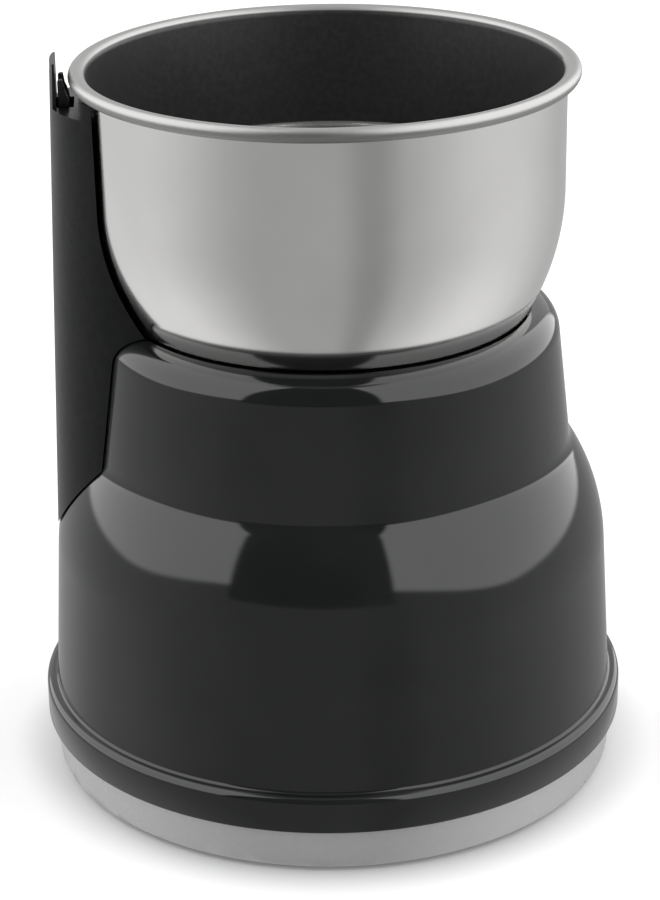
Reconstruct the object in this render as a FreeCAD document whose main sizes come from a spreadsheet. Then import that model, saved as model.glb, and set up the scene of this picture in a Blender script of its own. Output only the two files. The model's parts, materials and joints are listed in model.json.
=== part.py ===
import FreeCAD, Part
import math
import os
import re
import Sketcher
from FreeCAD import Placement, Rotation, Vector

doc = FreeCAD.newDocument("spice_grinder")

# Driving sizes in millimetres and degrees: widths, steps, rises, gaps and walls that can be set one by one.
SIZES = [
    # steel cup
    ("cup_r", 42.05), ("cup_wall", 0.7), ("cup_curve", 43.25), ("cup_knee_in", 8.7), ("cup_curve_rise", 26.0),
    ("cup_corner", 7.0), ("cup_corner_in", 5.6), ("cup_boss_r", 12.2), ("cup_boss_slope", 2.2),
    ("cup_boss_rise", 4.8), ("bush_hole_r", 6.0), ("rim_tube", 1.25), ("rim_out", 1.12), ("rim_rise", 20.85),
    # glossy motor housing
    ("flange_out", 11.95), ("flange_low", 8.5), ("flange_depth", 5.35), ("flange_round", 1.35),
    ("crease_step", 2.05), ("skirt_lean", 1.46), ("skirt_rise", 28.22), ("bell_rise", 19.28),
    ("bell_round", 37.0), ("drum_lean", 2.19), ("drum_rise", 20.58), ("crease_fillet", 5.5),
    ("lip_in", 5.55), ("lip_width", 5.07), ("lip_rise", 4.57), ("lip_round", 5.1), ("wall", 2.4),
    ("bay_drop", 4.0), ("bay_gap", 0.76), ("bay_depth", 3.1), ("slab", 2.5), ("well_r", 20.0),
    ("well_depth", 9.0), ("collar_r", 7.6), ("collar_rise", 3.0), ("inlet_z", 24.0),
    ("base_boss_in", 8.0), ("base_boss_r", 3.6), ("base_boss_drop", 3.9), ("pillar_circle", 29.0),
    ("pillar_r", 4.2), ("mount_height", 2.0), ("bracket_face_in", 0.31),
    # switch column
    ("column_nose", 17.0), ("column_low_out", 0.41), ("column_top_out", 5.37), ("column_drop", 12.07),
    ("column_rise", 4.15), ("column_seam", 0.3), ("cup_gap", 0.7), ("notch_drop", 4.65), ("guard_half", 4.4),
    ("post_half", 11.5), ("post_rise", 2.9), ("rod_wall", 0.75), ("rod_slot_half", 3.6), ("rod_slide", 0.35),
    # switch rod and push switch
    ("rod_gap", 1.2), ("rod_thick", 1.45), ("rod_half", 3.0), ("rod_head", 6.3), ("rod_rib", 1.1),
    ("button_in", 1.5), ("button_r", 2.0), ("button_sunk", 3.0), ("switch_body_low", 30.5),
    ("switch_body_tall", 11.0), ("switch_body_half", 10.0), ("switch_body_deep", 3.2), ("switch_floor", 1.5),
    ("button_rise", 4.2), ("button_wire", 0.3), ("button_coil", 1.5), ("button_turns", 5.0),
    # base plate
    ("plate_low", 0.6), ("plate_floor", 3.0), ("plate_step", 1.0), ("plate_flare", 3.1), ("spigot_gap", 0.3),
    ("spigot_wall", 0.9), ("spigot_rise", 3.0), ("foot_in", 14.0), ("foot_r", 5.0), ("foot_top", 1.9),
    ("vent_in", 11.0), ("vent_out", 27.0), ("vent_width", 2.6),
    # motor
    ("shaft_r", 3.0), ("bore_gap", 0.05), ("shaft_low", 4.0), ("core_low", 29.0), ("core_height", 20.0),
    ("rotor_r", 14.7), ("air_gap", 0.5), ("shoe_thick", 3.4), ("pole_length", 7.9), ("yoke_thick", 4.5),
    ("neck_half", 7.3), ("bolt_in", 2.2), ("bolt_r", 2.0), ("bracket_low", 11.0), ("bracket_low_thick", 2.5),
    ("bracket_rise", 8.0), ("bracket_thick", 3.0), ("bearing_r", 9.5), ("low_bearing_r", 8.0),
    ("fan_low", 4.4), ("fan_disc_thick", 1.0), ("fan_vane", 3.8), ("fan_r", 24.0), ("commutator_r", 8.5),
    ("commutator_low", 15.5), ("commutator_long", 9.0),
    # blade drive
    ("drive_rise", 3.6), ("drive_thick", 1.8), ("dog_long", 2.0), ("dog_gap", 0.2), ("cup_drive_thick", 1.9),
    ("coupling_r", 8.5), ("bush_rise", 4.5), ("bush_gap", 0.3), ("bush_flange_r", 8.5), ("blade_rise", 1.4),
    ("blade_thick", 1.4), ("blade_hub", 7.5), ("blade_reach", 32.0), ("blade_pitch", 16.0),
]

# Sizes that follow from the driving ones. Heights are measured up from the table, radii from the motor axis.
FOLLOWING = [
    # glossy motor housing
    ("flange_r", "cup_r + flange_out"), ("flange_edge", "flange_low + flange_depth"),
    ("crease_r", "flange_r - crease_step"), ("skirt_top_r", "crease_r - skirt_lean"),
    ("skirt_top", "flange_edge + skirt_rise"), ("lip_r", "cup_r - lip_in"),
    ("drum_top_r", "lip_r + lip_width"), ("drum_foot_r", "drum_top_r + drum_lean"),
    ("drum_foot", "skirt_top + bell_rise"),
    ("drum_top", "drum_foot + drum_rise"), ("lip_top", "drum_top + lip_rise"),
    ("bay_knee", "lip_top - bay_drop"), ("bay_floor", "bay_knee - bay_depth"),
    ("slab_under", "bay_floor - slab"),
    ("well_floor", "bay_floor - well_depth"), ("deck_under", "well_floor - wall"),
    ("collar_top", "well_floor + collar_rise"), ("base_boss_circle", "flange_r - base_boss_in"),
    ("base_boss_low", "flange_low - base_boss_drop"), ("base_boss_top", "skirt_top - 2.07"),
    # steel cup
    ("cup_knee_r", "cup_r - cup_knee_in"), ("bay_r", "cup_knee_r + bay_gap"), ("cup_knee", "bay_knee"),
    ("cup_curve_top", "cup_knee + cup_curve_rise"), ("cup_flat_r", "cup_knee_r - cup_corner_in"),
    ("cup_bottom", "bay_floor + 0.3"), ("cup_boss_foot_r", "cup_boss_r + cup_boss_slope"),
    ("cup_boss_under", "cup_bottom + cup_boss_rise"), ("rim_r", "cup_r + rim_out"),
    ("rim_z", "cup_curve_top + rim_rise"), ("bracket_face", "bay_r + wall - bracket_face_in"),
    # switch column, rod and push switch
    ("column_low_reach", "skirt_top_r + column_low_out"), ("column_top_reach", "cup_r + column_top_out"),
    ("column_low", "skirt_top - column_drop"), ("column_top", "rim_z + column_rise"),
    ("notch_floor", "rim_z - notch_drop"), ("post_top", "notch_floor + post_rise"),
    ("rod_slot_in", "cup_r + cup_gap + rod_wall"), ("rod_in", "rod_slot_in + rod_gap"),
    ("rod_out", "rod_in + rod_thick"), ("guard_face", "rod_out + rod_slide"),
    ("rod_tip", "notch_floor + rod_head"), ("button_x", "rod_in - button_in"),
    ("switch_body_top", "switch_body_low + switch_body_tall"), ("button_low", "switch_body_top - button_sunk"),
    ("rod_low", "switch_body_top + button_rise"), ("switch_bore_low", "switch_body_low + switch_floor"),
    ("switch_body_out", "button_x + switch_body_deep"), ("switch_body_in", "button_x - switch_body_deep"),
    # base plate
    ("plate_top_r", "flange_r - plate_step"), ("plate_low_r", "plate_top_r - plate_flare"),
    ("spigot_out", "flange_r - wall - 0.6 - spigot_gap"), ("spigot_in", "spigot_out - spigot_wall"),
    ("spigot_top", "flange_low + spigot_rise"), ("foot_circle", "flange_r - foot_in"),
    # motor
    ("core_top", "core_low + core_height"), ("stator_bore", "rotor_r + air_gap"),
    ("shoe_r", "stator_bore + shoe_thick"), ("yoke_in", "shoe_r + pole_length"),
    ("yoke_out", "yoke_in + yoke_thick"), ("bolt_circle", "yoke_out - bolt_in"),
    ("bracket_low_top", "bracket_low + bracket_low_thick"), ("bracket_up", "core_top + bracket_rise"),
    ("bracket_up_top", "bracket_up + bracket_thick"), ("pillar_low", "bracket_up_top + mount_height"),
    ("fan_disc", "fan_low + fan_disc_thick"), ("fan_top", "fan_disc + fan_vane"),
    ("commutator_top", "commutator_low + commutator_long"),
    # blade drive
    ("drive_low", "well_floor + drive_rise"), ("drive_face", "drive_low + drive_thick"),
    ("shaft_top", "drive_face - 0.2"), ("dog_tip", "drive_face + dog_long"),
    ("cup_dog_tip", "drive_face + dog_gap"), ("cup_drive_face", "dog_tip + dog_gap"),
    ("cup_drive_top", "cup_drive_face + cup_drive_thick"),
    ("bush_low", "cup_drive_top + bush_gap"), ("bush_top", "cup_boss_under + bush_rise"),
    ("blade_z", "bush_top + blade_rise"),
]

sheet = doc.addObject("Spreadsheet::Sheet", "sizes")
for row, (alias, value) in enumerate(SIZES + FOLLOWING, start=1):
    sheet.set("A%d" % row, alias)
    sheet.set("B%d" % row, "=" + value if isinstance(value, str) else str(value))
    sheet.setAlias("B%d" % row, alias)
doc.recompute()

# A second sheet only reckons values from the first, so that asking for one disturbs nothing.
reckoner = doc.addObject("Spreadsheet::Sheet", "reckoner")

ALIASES = sorted((alias for alias, _ in SIZES + FOLLOWING), key=len, reverse=True)
NAMES = re.compile(r"\b(" + "|".join(ALIASES) + r")\b")


def bound(expression):
    """The expression with every size name pointing at the sheet."""
    return NAMES.sub(r"sizes.\1", str(expression))


def number(expression):
    """Present value of an expression of sheet sizes, worked out by the sheet."""
    reckoner.set("A1", "=" + bound(expression))
    reckoner.recompute()
    found = reckoner.get("A1")
    return float(getattr(found, "Value", found))


def tie(item, field, expression):
    """Set a field from the sheet and keep it tied to it."""
    item.setExpression(field, bound(expression))


def arc_between(start, end, radius, turn):
    """Short arc of a given radius; turn is 1 for a centre on the left, -1 for the right."""
    chord = end - start
    side = Vector(-chord.y, chord.x, 0).normalize() * turn
    reach = math.sqrt(max(radius * radius - chord.Length ** 2 / 4, 0))
    centre = (start + end) * 0.5 + side * reach
    first, last = (start, end) if turn > 0 else (end, start)
    begin = math.atan2(first.y - centre.y, first.x - centre.x)
    finish = math.atan2(last.y - centre.y, last.x - centre.x)
    if finish < begin:
        finish += 2 * math.pi
    return Part.ArcOfCircle(Part.Circle(centre, Vector(0, 0, 1), radius), begin, finish)


def pin(sketch, geometry, point, x, y):
    """Hold a sketch point at two sheet expressions."""
    for kind, expression, axis in (("DistanceX", x, -2), ("DistanceY", y, -1)):
        value = number(expression)
        if abs(value) < 1e-9:
            sketch.addConstraint(Sketcher.Constraint("PointOnObject", geometry, point, axis))
            continue
        index = sketch.addConstraint(Sketcher.Constraint(kind, -1, 1, geometry, point, value))
        tie(sketch, "Constraints[%d]" % index, expression)


def draw_outline(sketch, corners, arcs=None):
    """Closed outline through pinned corners; arcs maps an edge number to (radius, turn)."""
    arcs = arcs or {}
    points = [Vector(number(x), number(y), 0) for x, y in corners]
    count = len(points)
    first = sketch.GeometryCount
    ends = []
    for i in range(count):
        start, end = points[i], points[(i + 1) % count]
        if i in arcs:
            radius, turn = arcs[i]
            geometry = sketch.addGeometry(arc_between(start, end, number(radius), turn), False)
            ends.append((1, 2) if turn > 0 else (2, 1))
        else:
            geometry = sketch.addGeometry(Part.LineSegment(start, end), False)
            ends.append((1, 2))
    for i in range(count):
        following = (i + 1) % count
        sketch.addConstraint(Sketcher.Constraint(
            "Coincident", first + i, ends[i][1], first + following, ends[following][0]))
    for i, (x, y) in enumerate(corners):
        pin(sketch, first + i, ends[i][0], x, y)
    for i, (radius, turn) in arcs.items():
        index = sketch.addConstraint(Sketcher.Constraint("Radius", first + i, number(radius)))
        tie(sketch, "Constraints[%d]" % index, radius)


def draw_circle(sketch, x, y, radius):
    """Circle with its centre and radius tied to the sheet."""
    centre = Vector(number(x), number(y), 0)
    geometry = sketch.addGeometry(Part.Circle(centre, Vector(0, 0, 1), number(radius)), False)
    pin(sketch, geometry, 3, x, y)
    index = sketch.addConstraint(Sketcher.Constraint("Radius", geometry, number(radius)))
    tie(sketch, "Constraints[%d]" % index, radius)


def new_body(label):
    """Empty sub-part at the shared origin."""
    body = doc.addObject("PartDesign::Body", label + "_body")
    body.Label = label
    return body


def new_sketch(body, name, plane="XY_Plane", height="0"):
    """Sketch on one of the body's own origin planes, moved along its normal."""
    sketch = body.newObject("Sketcher::SketchObject", name)
    support = [f for f in body.Origin.OriginFeatures if f.Role == plane][0]
    sketch.AttachmentSupport = [(support, "")]
    sketch.MapMode = "FlatFace"
    if number(height) != 0:
        tie(sketch, "AttachmentOffset.Base.z", height)
    return sketch


def revolve(body, name, corners, arcs=None, cut=False):
    """Turn an upright outline about the motor axis, as material or as a cut."""
    sketch = new_sketch(body, name + "_outline", "XZ_Plane")
    draw_outline(sketch, corners, arcs)
    kind = "PartDesign::Groove" if cut else "PartDesign::Revolution"
    turned = body.newObject(kind, name)
    turned.Profile = sketch
    turned.ReferenceAxis = (sketch, ["V_Axis"])
    turned.Angle = 360
    sketch.Visibility = False
    doc.recompute()
    return turned


def pad(body, name, sketch, length, both=False):
    """Raise a sketch into material."""
    raised = body.newObject("PartDesign::Pad", name)
    raised.Profile = sketch
    tie(raised, "Length", length)
    raised.Midplane = both
    sketch.Visibility = False
    doc.recompute()
    return raised


def pocket(body, name, sketch, length, up=True, both=False):
    """Cut a sketch out of the material."""
    cut = body.newObject("PartDesign::Pocket", name)
    cut.Profile = sketch
    tie(cut, "Length", length)
    cut.Reversed = up
    cut.Refine = False
    cut.Midplane = both
    sketch.Visibility = False
    doc.recompute()
    return cut


def ring_pattern(body, name, feature, count):
    """Repeat a feature evenly about the motor axis."""
    pattern = body.newObject("PartDesign::PolarPattern", name)
    pattern.Originals = [feature]
    axis = [f for f in body.Origin.OriginFeatures if f.Role == "Z_Axis"][0]
    pattern.Axis = (axis, [""])
    pattern.Angle = 360
    pattern.Occurrences = count
    body.Tip = pattern
    doc.recompute()
    return pattern


def round_edge(body, name, feature, radius_at, height_at, size):
    """Fillet the circular edge that lies at a given radius and height."""
    target_r, target_z = number(radius_at), number(height_at)
    chosen = []
    for index, edge in enumerate(feature.Shape.Edges, start=1):
        curve = edge.Curve
        if isinstance(curve, Part.Circle) and abs(curve.Radius - target_r) < 0.02 \
                and abs(curve.Center.z - target_z) < 0.02:
            chosen.append("Edge%d" % index)
    fillet = body.newObject("PartDesign::Fillet", name)
    fillet.Base = (feature, chosen)
    tie(fillet, "Radius", size)
    doc.recompute()
    return fillet


def turned_part(label, corners, arcs=None):
    """Sub-part made by one revolved outline."""
    body = new_body(label)
    revolve(body, label + "_form", corners, arcs)
    return body


def tube(label, outer, inner, low, high):
    """Plain ring or bush about the motor axis."""
    return turned_part(label, [(inner, low), (outer, low), (outer, high), (inner, high)])


def place(item, x="0", y="0", z="0"):
    """Tie the position of a primitive to the sheet."""
    for axis, expression in zip("xyz", (x, y, z)):
        tie(item, ".Placement.Base." + axis, expression)


def cylinder(radius, low, high, x="0", y="0", name="rod"):
    """Upright primitive cylinder."""
    item = doc.addObject("Part::Cylinder", name)
    tie(item, "Radius", radius)
    tie(item, "Height", "(%s) - (%s)" % (high, low))
    place(item, x, y, low)
    return item


def box(x_low, x_high, y_low, y_high, z_low, z_high, name="block"):
    """Primitive box between two corners."""
    item = doc.addObject("Part::Box", name)
    tie(item, "Length", "(%s) - (%s)" % (x_high, x_low))
    tie(item, "Width", "(%s) - (%s)" % (y_high, y_low))
    tie(item, "Height", "(%s) - (%s)" % (z_high, z_low))
    place(item, x_low, y_low, z_low)
    return item


def lying(radius, start, end, y, z, along_y=False, name="pin"):
    """Primitive cylinder lying along x, or along y."""
    item = doc.addObject("Part::Cylinder", name)
    tie(item, "Radius", radius)
    tie(item, "Height", "(%s) - (%s)" % (end, start))
    axis, angle = (Vector(1, 0, 0), -90) if along_y else (Vector(0, 1, 0), 90)
    item.Placement = Placement(Vector(), Rotation(axis, angle))
    place(item, *((y, start, z) if along_y else (start, y, z)))
    return item


def joined(label, pieces):
    """Sub-part made of several primitives."""
    if len(pieces) == 1:
        pieces[0].Label = label
        return pieces[0]
    item = doc.addObject("Part::MultiFuse", label + "_joined")
    item.Shapes = pieces
    item.Label = label
    doc.recompute()
    return item


def cut_from(label, base, tools):
    """Sub-part with shapes taken away from it."""
    tool = tools[0]
    if len(tools) > 1:
        tool = doc.addObject("Part::MultiFuse", label + "_tools")
        tool.Shapes = tools
    item = doc.addObject("Part::Cut", label + "_cut")
    item.Base = base
    item.Tool = tool
    item.Label = label
    doc.recompute()
    return item


def pipe_shape(points, radius):
    """Round tube through points, as a smooth line."""
    curve = Part.BSplineCurve()
    curve.interpolate([Vector(*p) for p in points])
    path = Part.Wire([curve.toShape()])
    tangent = curve.tangent(curve.FirstParameter)[0]
    ring = Part.Wire([Part.makeCircle(radius, Vector(*points[0]), tangent)])
    return path.makePipeShell([ring], True, False)


def coil_shape(coil, wire, low, high, turns):
    """Coil spring standing on its end, one unbroken tube with its ends drawn level."""
    helix = Part.makeHelix((high - low - 2 * wire) / turns, high - low - 2 * wire, coil)
    helix.translate(Vector(0, 0, low + wire))
    ring = Part.Wire([Part.makeCircle(wire, Vector(coil, 0, low + wire), Vector(0, 1, 0))])
    return Part.Wire(helix).makePipeShell([ring], True, True)


def shaped(label, shape):
    """Sub-part for wound forms that neither sketches nor primitives can make."""
    item = doc.addObject("Part::Feature", label + "_shape")
    item.Shape = Part.makeCompound([shape])
    item.Label = label
    return item


def housing_outer(gap="0"):
    """Outer line of the housing from the flange crease up to the lip crest, grown by a gap."""
    corners = [
        ("crease_r + " + gap, "flange_edge + flange_round"),
        ("skirt_top_r + " + gap, "skirt_top"),
        ("drum_foot_r + " + gap, "drum_foot"),
        ("drum_top_r + " + gap, "drum_top"),
    ]
    arcs = {1: ("bell_round + " + gap, 1), 3: ("lip_round + " + gap, 1)}
    return corners, arcs


def make_housing():
    """Flange, bell, drum and lip in one moulding, with the bay that the cup sits in."""
    body = new_body("motor_housing")
    line, line_arcs = housing_outer()
    corners = [
        ("flange_r - wall - 0.6", "flange_low"),
        ("flange_r - 0.4", "flange_low"),
        ("flange_r", "flange_low + 0.4"),
        ("flange_r", "flange_edge"),
        ("flange_r - flange_round", "flange_edge + flange_round"),
    ]
    start = len(corners)
    corners += line
    corners += [
        ("lip_r", "lip_top"),
        ("lip_r - 0.06", "lip_top - 0.5"),
        ("bay_r", "bay_knee"),
        ("bay_r", "bay_floor"),
        ("well_r", "bay_floor"),
        ("well_r", "well_floor"),
        ("collar_r", "well_floor"),
        ("collar_r", "collar_top"),
        ("shaft_r + 2.6", "collar_top"),
        ("shaft_r + 2.6", "deck_under"),
        ("well_r + wall", "deck_under"),
        ("well_r + wall", "slab_under"),
        ("bay_r + wall", "slab_under"),
        ("bay_r + wall", "drum_top - 0.9"),
        ("drum_top_r - wall", "drum_top - 0.9"),
        ("drum_foot_r - wall", "drum_foot - 0.8"),
        ("skirt_top_r - wall", "skirt_top"),
        ("crease_r - wall", "flange_edge + flange_round - 0.2"),
        ("flange_r - wall - 0.6", "flange_edge - 0.7"),
    ]
    arcs = {3: ("flange_round", 1), start + 5: ("cup_curve + 0.6", -1),
            start + 19: ("bell_round - wall", -1)}
    for edge, value in line_arcs.items():
        arcs[start + edge] = value
    form = revolve(body, "housing_form", corners, arcs)
    form = round_edge(body, "drum_fillet", form, "drum_foot_r", "drum_foot", "crease_fillet")
    form = round_edge(body, "flange_fillet", form, "crease_r", "flange_edge + flange_round", "0.6")

    sketch = new_sketch(body, "base_boss_outline", height="base_boss_low")
    draw_circle(sketch, "base_boss_circle", "0", "base_boss_r")
    boss = pad(body, "base_boss", sketch, "base_boss_top - base_boss_low")
    ring_pattern(body, "base_bosses", boss, 3)
    sketch = new_sketch(body, "base_boss_bore_outline", height="base_boss_low - 1")
    draw_circle(sketch, "base_boss_circle", "0", "1.6")
    bore = pocket(body, "base_boss_bore", sketch, "20")
    ring_pattern(body, "base_boss_bores", bore, 3)

    sketch = new_sketch(body, "pillar_outline", height="pillar_low")
    draw_circle(sketch, "pillar_circle * cos(45)", "pillar_circle * sin(45)", "pillar_r")
    pillar = pad(body, "pillar", sketch, "slab_under - pillar_low + 0.5")
    ring_pattern(body, "pillars", pillar, 4)
    sketch = new_sketch(body, "pillar_bore_outline", height="pillar_low - 1")
    draw_circle(sketch, "pillar_circle * cos(45)", "pillar_circle * sin(45)", "1.85")
    bore = pocket(body, "pillar_bore", sketch, "11")
    ring_pattern(body, "pillar_bores", bore, 4)

    sketch = new_sketch(body, "bracket_boss_outline", height="drum_foot - 1")
    draw_outline(sketch, [("-bracket_face", "-8"), ("5.7 - bracket_face", "-8"),
                          ("5.7 - bracket_face", "8"), ("-bracket_face", "8")])
    pad(body, "bracket_boss", sketch, "slab_under - drum_foot + 1.5")

    sketch = new_sketch(body, "rod_opening_outline", height="drum_foot - 11.35")
    draw_outline(sketch, [("-rod_out - 0.9", "-rod_half - 0.8"), ("-rod_slot_in", "-rod_half - 0.8"),
                          ("-rod_slot_in", "rod_half + 0.8"), ("-rod_out - 0.9", "rod_half + 0.8")])
    pocket(body, "rod_opening", sketch, "16")

    sketch = new_sketch(body, "column_screw_outline", "YZ_Plane", "-drum_foot_r - 1.24")
    draw_circle(sketch, "10.5", "drum_foot + 8.5", "1.3")
    draw_circle(sketch, "-10.5", "drum_foot + 8.5", "1.3")
    pocket(body, "column_screw_holes", sketch, "10")
    sketch = new_sketch(body, "bracket_screw_outline", "YZ_Plane", "-bracket_face - 0.3")
    draw_circle(sketch, "5", "drum_foot + 4.5", "1.3")
    draw_circle(sketch, "-5", "drum_foot + 4.5", "1.3")
    pocket(body, "bracket_screw_holes", sketch, "5")
    sketch = new_sketch(body, "inlet_outline", "XZ_Plane", "-flange_r")
    draw_circle(sketch, "0", "inlet_z", "4.1")
    pocket(body, "inlet_hole", sketch, "8")
    return body


def make_column():
    """Hollow switch column that hugs the cup and stands on the housing shoulder."""
    body = new_body("switch_column")
    low = new_sketch(body, "column_low_outline", height="column_low")
    draw_circle(low, "column_nose - column_low_reach", "0", "column_nose")
    top = new_sketch(body, "column_top_outline", height="column_top")
    draw_circle(top, "column_nose - column_top_reach", "0", "column_nose")
    loft = body.newObject("PartDesign::AdditiveLoft", "column_form")
    loft.Profile = low
    loft.Sections = [top]
    low.Visibility = False
    top.Visibility = False
    doc.recompute()

    line, line_arcs = housing_outer("column_seam")
    corners = [("0", "column_low - 5")] + [("crease_r + column_seam", "column_low - 5")] + line[1:]
    arcs = {edge + 1: value for edge, value in line_arcs.items()}
    corners += [
        ("lip_r + 0.55", "lip_top + column_seam - 0.03"),
        ("cup_r + cup_gap", "cup_curve_top"),
        ("cup_r + cup_gap", "column_top + 5"),
        ("0", "column_top + 5"),
    ]
    arcs[5] = ("cup_curve + cup_gap", 1)
    revolve(body, "column_seat", corners, arcs, cut=True)

    sketch = new_sketch(body, "notch_outline", height="notch_floor")
    outside = "-column_top_reach - 12.58"
    half = [(outside, "guard_half"), (outside, "20"), ("2.85 - cup_r", "20"),
            ("-cup_r - 0.45", "post_half"), ("4.05 - cup_r", "post_half")]
    near = [(x, "-" + y) for x, y in reversed(half)]
    draw_outline(sketch, [("-guard_face", "guard_half")] + half + near + [("-guard_face", "-guard_half")])
    pocket(body, "notch", sketch, "20")
    sketch = new_sketch(body, "post_outline", height="post_top")
    draw_outline(sketch, [("-guard_face", "-20"), ("-30", "-20"), ("-30", "20"), ("-guard_face", "20")])
    pocket(body, "post_trim", sketch, "20")
    sketch = new_sketch(body, "rod_way_outline", height="column_low")
    draw_outline(sketch, [("-guard_face", "-rod_slot_half"), ("-rod_slot_in", "-rod_slot_half"),
                          ("-rod_slot_in", "rod_slot_half"), ("-guard_face", "rod_slot_half")])
    pocket(body, "rod_way", sketch, "notch_floor - column_low + 1")
    sketch = new_sketch(body, "screw_socket_outline", "YZ_Plane", "-drum_foot_r - 1.14")
    draw_circle(sketch, "10.5", "drum_foot + 8.5", "1.15")
    draw_circle(sketch, "-10.5", "drum_foot + 8.5", "1.15")
    pocket(body, "screw_sockets", sketch, "5")
    return body


def make_base_plate():
    """Light plate under the flange, with air slots, foot recesses and screw holes."""
    body = new_body("base_plate")
    revolve(body, "plate_form", [
        ("0", "plate_low"), ("plate_low_r - 0.5", "plate_low"), ("plate_low_r + 0.15", "plate_low + 0.5"),
        ("plate_top_r", "flange_low"), ("spigot_out", "flange_low"), ("spigot_out", "spigot_top"),
        ("spigot_in", "spigot_top"), ("spigot_in", "plate_floor"), ("0", "plate_floor")])
    sketch = new_sketch(body, "vent_outline", height="plate_low - 1")
    draw_outline(sketch, [("vent_in", "-vent_width / 2"), ("vent_out", "-vent_width / 2"),
                          ("vent_out", "vent_width / 2"), ("vent_in", "vent_width / 2")])
    slot = pocket(body, "vent", sketch, "6")
    ring_pattern(body, "vents", slot, 12)
    sketch = new_sketch(body, "foot_recess_outline", height="plate_low - 1")
    draw_circle(sketch, "foot_circle * cos(45)", "foot_circle * sin(45)", "foot_r + 0.05")
    recess = pocket(body, "foot_recess", sketch, "foot_top - plate_low + 1.05")
    ring_pattern(body, "foot_recesses", recess, 4)
    sketch = new_sketch(body, "screw_head_outline", height="plate_low - 1")
    draw_circle(sketch, "base_boss_circle", "0", "3.1")
    head = pocket(body, "screw_head", sketch, "2.2")
    ring_pattern(body, "screw_heads", head, 3)
    sketch = new_sketch(body, "screw_hole_outline", height="plate_low - 1")
    draw_circle(sketch, "base_boss_circle", "0", "1.7")
    hole = pocket(body, "screw_hole", sketch, "6")
    ring_pattern(body, "screw_holes", hole, 3)
    return body


def around(count, offset, circle):
    """Positions evenly spaced on a circle, as sheet expressions."""
    angles = [offset + 360.0 * i / count for i in range(count)]
    return [("%s * cos(%g)" % (circle, a), "%s * sin(%g)" % (circle, a)) for a in angles]


def make_fixings():
    """Feet, screws, bolts and rubber mounts, one group for each kind."""
    joined("rubber_feet", [cylinder("foot_r", "0", "foot_top", x, y)
                           for x, y in around(4, 45, "foot_circle")])
    pieces = []
    for x, y in around(3, 0, "base_boss_circle"):
        pieces.append(cylinder("2.9", "plate_low + 0.1", "plate_low + 1.1", x, y))
        pieces.append(cylinder("1.5", "plate_low + 1", "base_boss_low + 15.4", x, y))
    joined("base_screws", pieces)
    pieces = []
    for y in ("10.5", "-10.5"):
        pieces.append(lying("1.1", "-drum_foot_r - 0.94", "5.56 - drum_foot_r", y, "drum_foot + 8.5"))
        pieces.append(lying("2.0", "5.51 - drum_foot_r", "6.96 - drum_foot_r", y, "drum_foot + 8.5"))
    joined("column_screws", pieces)
    pieces = []
    for y in ("5", "-5"):
        pieces.append(lying("1.2", "-bracket_face - 1.4", "4.2 - bracket_face", y, "drum_foot + 4.5"))
        pieces.append(lying("2.1", "-bracket_face - 2.7", "-bracket_face - 1.3", y, "drum_foot + 4.5"))
    joined("bracket_screws", pieces)
    pieces = []
    height = "switch_body_low + 3.5"
    for y in ("6", "-6"):
        pieces.append(lying("1.1", "-switch_body_out - 0.2", "2.4 - switch_body_in", y, height))
        pieces.append(lying("1.9", "-switch_body_out - 1.2", "-switch_body_out - 0.05", y, height))
    joined("switch_screws", pieces)
    mounts, screws = [], []
    for x, y in around(4, 45, "pillar_circle"):
        mounts.append(cut_from("mount", cylinder("pillar_r", "bracket_up_top", "pillar_low", x, y),
                               [cylinder("1.95", "bracket_up_top - 1", "pillar_low + 1", x, y)]))
        screws.append(cylinder("1.75", "bracket_up", "pillar_low + 8", x, y))
        screws.append(cylinder("3.2", "bracket_up - 2", "bracket_up", x, y))
    joined("motor_mounts", mounts)
    joined("motor_screws", screws)
    pieces = []
    for x, y in around(2, 90, "bolt_circle"):
        pieces.append(cylinder("bolt_r", "bracket_low - 0.5", "bracket_up_top", x, y))
        pieces.append(cylinder("3.4", "bracket_low - 2.6", "bracket_low", x, y))
        pieces.append(cylinder("3.4", "bracket_up_top", "bracket_up_top + 2.2", x, y))
    joined("motor_bolts", pieces)


def make_cup():
    """Pressed steel cup with a rolled rim and a raised middle."""
    return turned_part("steel_cup", [
        ("bush_hole_r", "cup_boss_under"), ("cup_boss_r", "cup_boss_under"), ("cup_boss_foot_r", "cup_bottom"),
        ("cup_flat_r", "cup_bottom"), ("cup_knee_r", "cup_knee"), ("cup_r", "cup_curve_top"),
        ("cup_r", "rim_z - rim_tube + 0.1"), ("rim_r", "rim_z - rim_tube"), ("rim_r + rim_tube", "rim_z"),
        ("rim_r", "rim_z + rim_tube"), ("cup_r - cup_wall", "rim_z - 0.45"),
        ("cup_r - cup_wall", "cup_curve_top"),
        ("cup_knee_r - 0.56", "cup_knee + 0.4"), ("cup_flat_r", "cup_bottom + cup_wall"),
        ("cup_boss_foot_r + 0.4", "cup_bottom + cup_wall"), ("cup_boss_r + 0.4", "cup_boss_under + cup_wall"),
        ("bush_hole_r", "cup_boss_under + cup_wall")],
        {3: ("cup_corner", 1), 4: ("cup_curve", 1), 7: ("rim_tube", 1), 8: ("rim_tube", 1),
         9: ("1.8", 1), 11: ("cup_curve - cup_wall", -1), 12: ("cup_corner - cup_wall", -1)})


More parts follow.
